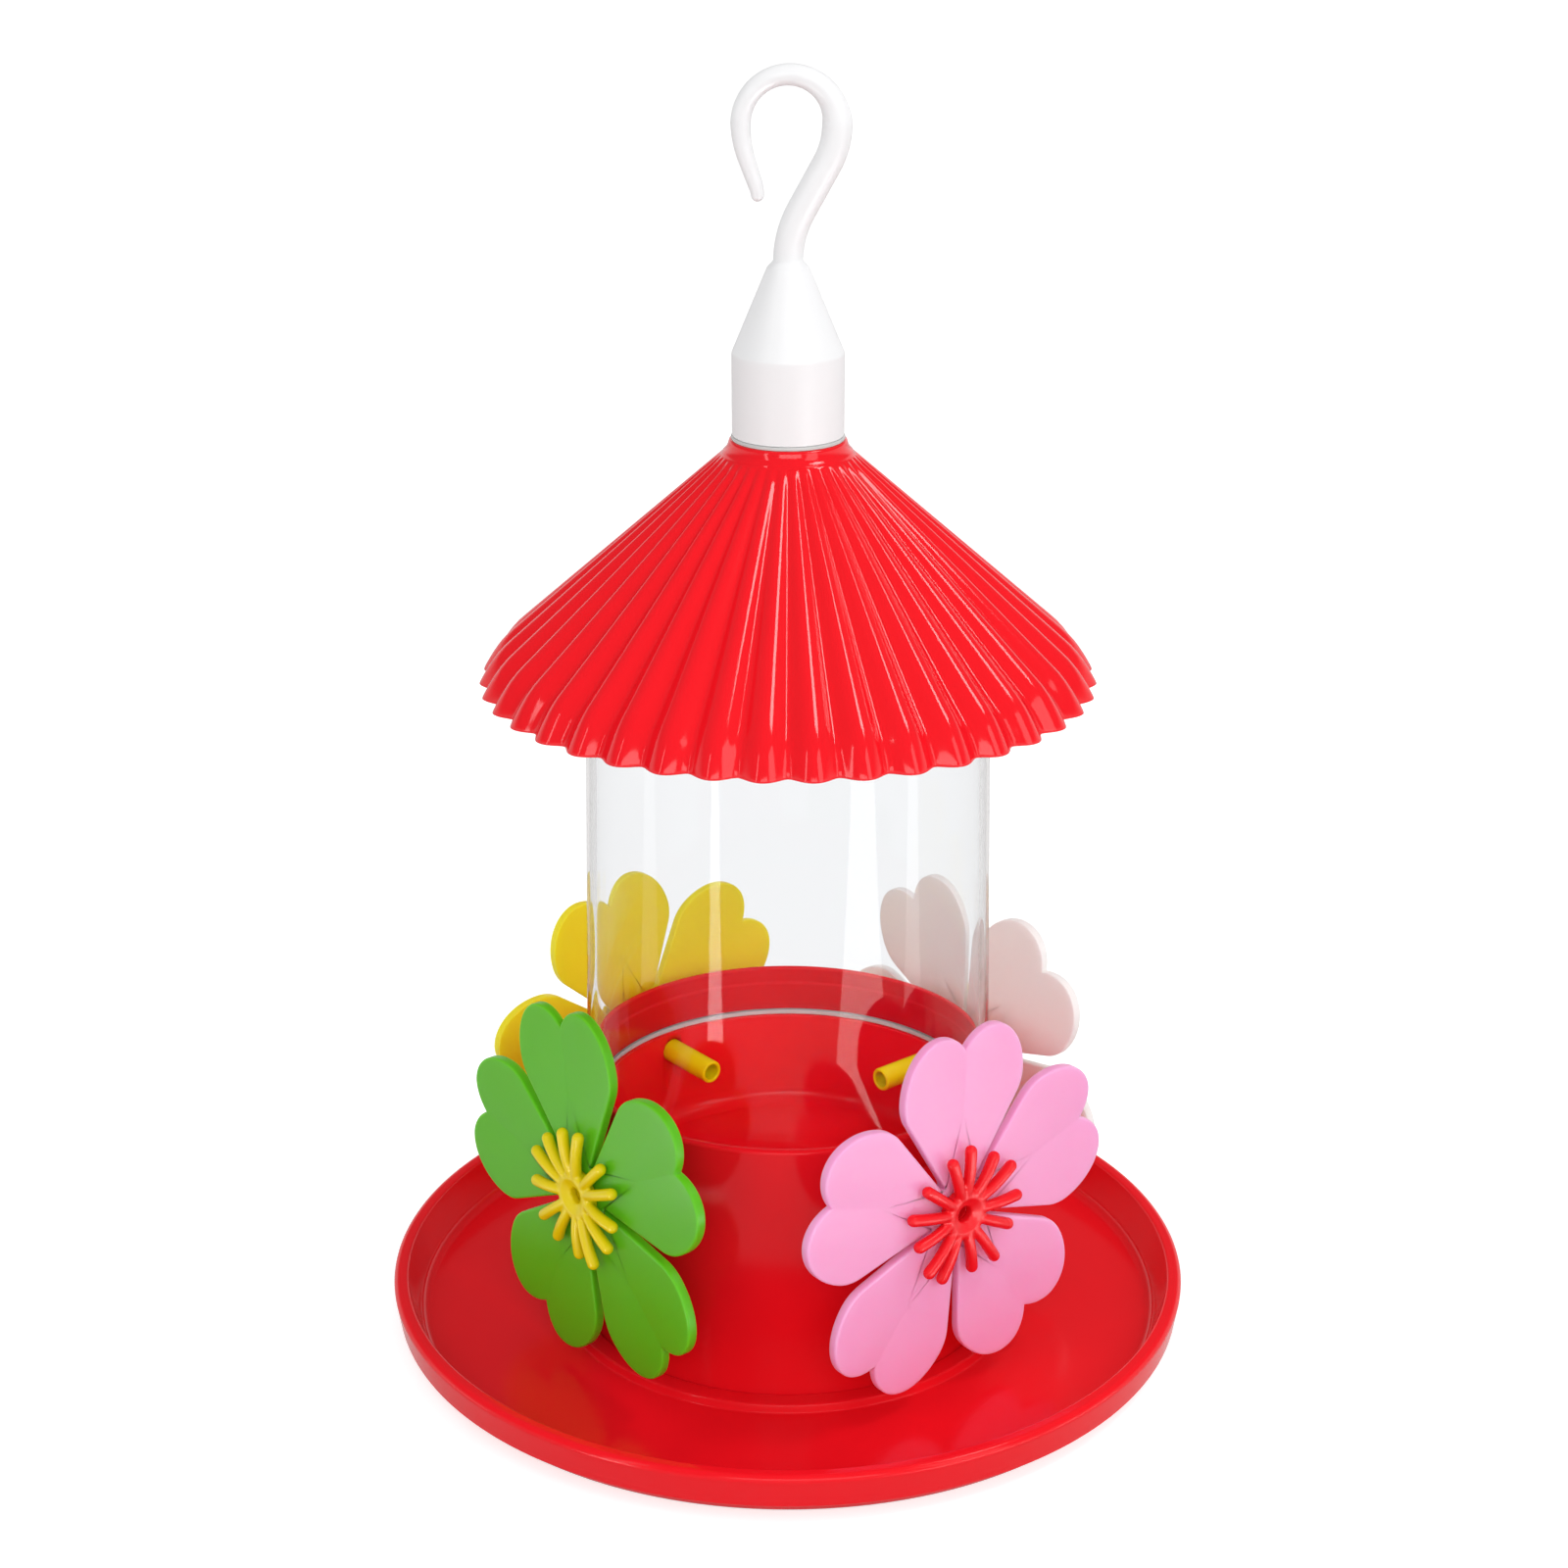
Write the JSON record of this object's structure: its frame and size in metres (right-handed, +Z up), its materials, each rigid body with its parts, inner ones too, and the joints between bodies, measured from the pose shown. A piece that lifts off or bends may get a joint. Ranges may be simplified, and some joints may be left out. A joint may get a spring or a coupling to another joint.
{
  "type": "hummingbird feeder",
  "caption": "Hanging nectar feeder: clear reservoir under a fluted red roof, screwed into a red cup with flower ports above a round perch tray.",
  "frame": {"origin": "middle of the tray's underside, on the surface it stands on", "axes": "+Z up along the reservoir, the hook's plane in XZ, -Y towards the viewer of the picture"},
  "size_m": [0.188, 0.188, 0.2911],
  "materials": {
    "red_tray": "gloss",
    "red_cup": "gloss",
    "seal": "soft",
    "clear": "clear moulded plastic",
    "red_roof": "gloss",
    "washer": "matte",
    "hanger": "satin",
    "green_petals": "satin",
    "pink_petals": "satin",
    "white_petals": "satin",
    "yellow_petals": "satin",
    "red_stamens": "gloss",
    "yellow_stamens": "satin"
  },
  "bodies": {
    "base": {"perch_tray": "red_tray", "nectar_cup": "red_cup"},
    "seal": {"mouth_seal": "seal"},
    "reservoir": {"reservoir": "clear", "roof": "red_roof"},
    "washer": {"hanger_washer": "washer"},
    "hanger": {"hanger": "hanger"},
    "green_tube": {"green_stamens": "yellow_stamens", "green_feeding_tube": "yellow_stamens"},
    "green_flower": {"green_petals": "green_petals"},
    "pink_tube": {"pink_stamens": "red_stamens", "pink_feeding_tube": "red_stamens"},
    "pink_flower": {"pink_petals": "pink_petals"},
    "white_tube": {"white_stamens": "yellow_stamens", "white_feeding_tube": "yellow_stamens"},
    "white_flower": {"white_petals": "white_petals"},
    "yellow_tube": {"yellow_stamens": "yellow_stamens", "yellow_feeding_tube": "yellow_stamens"},
    "yellow_flower": {"yellow_petals": "yellow_petals"}
  },
  "joints": [
    {"name": "reservoir_lift", "type": "slide", "parent": "base", "child": "seal", "axis": [0, 0, 1], "range_m": [0, 0.006]},
    {"name": "reservoir_turn", "type": "hinge", "parent": "seal", "child": "reservoir", "pos_m": [0, 0, 0.06], "axis": [0, 0, 1], "range_deg": [0, 540.5]},
    {"name": "hanger_lift", "type": "slide", "parent": "reservoir", "child": "washer", "axis": [0, 0, 1], "range_m": [0, 0.008]},
    {"name": "hanger_turn", "type": "hinge", "parent": "washer", "child": "hanger", "pos_m": [0, 0, 0.22], "axis": [0, 0, 1], "range_deg": [0, 720.5]},
    {"name": "green_tube_pull", "type": "slide", "parent": "base", "child": "green_tube", "axis": [-0.7727, -0.6347, 0], "range_m": [0, 0.02]},
    {"name": "green_flower_spin", "type": "hinge", "parent": "green_tube", "child": "green_flower", "pos_m": [0, 0, 0.0488], "axis": [-0.7727, -0.6347, 0], "continuous": true},
    {"name": "pink_tube_pull", "type": "slide", "parent": "base", "child": "pink_tube", "axis": [0.6347, -0.7727, 0], "range_m": [0, 0.02]},
    {"name": "pink_flower_spin", "type": "hinge", "parent": "pink_tube", "child": "pink_flower", "pos_m": [0, 0, 0.0488], "axis": [0.6347, -0.7727, 0], "continuous": true},
    {"name": "white_tube_pull", "type": "slide", "parent": "base", "child": "white_tube", "axis": [0.7727, 0.6347, 0], "range_m": [0, 0.02]},
    {"name": "white_flower_spin", "type": "hinge", "parent": "white_tube", "child": "white_flower", "pos_m": [0, 0, 0.0488], "axis": [0.7727, 0.6347, 0], "continuous": true},
    {"name": "yellow_tube_pull", "type": "slide", "parent": "base", "child": "yellow_tube", "axis": [-0.6347, 0.7727, 0], "range_m": [0, 0.02]},
    {"name": "yellow_flower_spin", "type": "hinge", "parent": "yellow_tube", "child": "yellow_flower", "pos_m": [0, 0, 0.0488], "axis": [-0.6347, 0.7727, 0], "continuous": true}
  ],
  "couplings": [
    {"joint": "reservoir_turn", "follows": "reservoir_lift", "rad_per_m": 1570.8},
    {"joint": "hanger_turn", "follows": "hanger_lift", "rad_per_m": 1570.8}
  ]
}
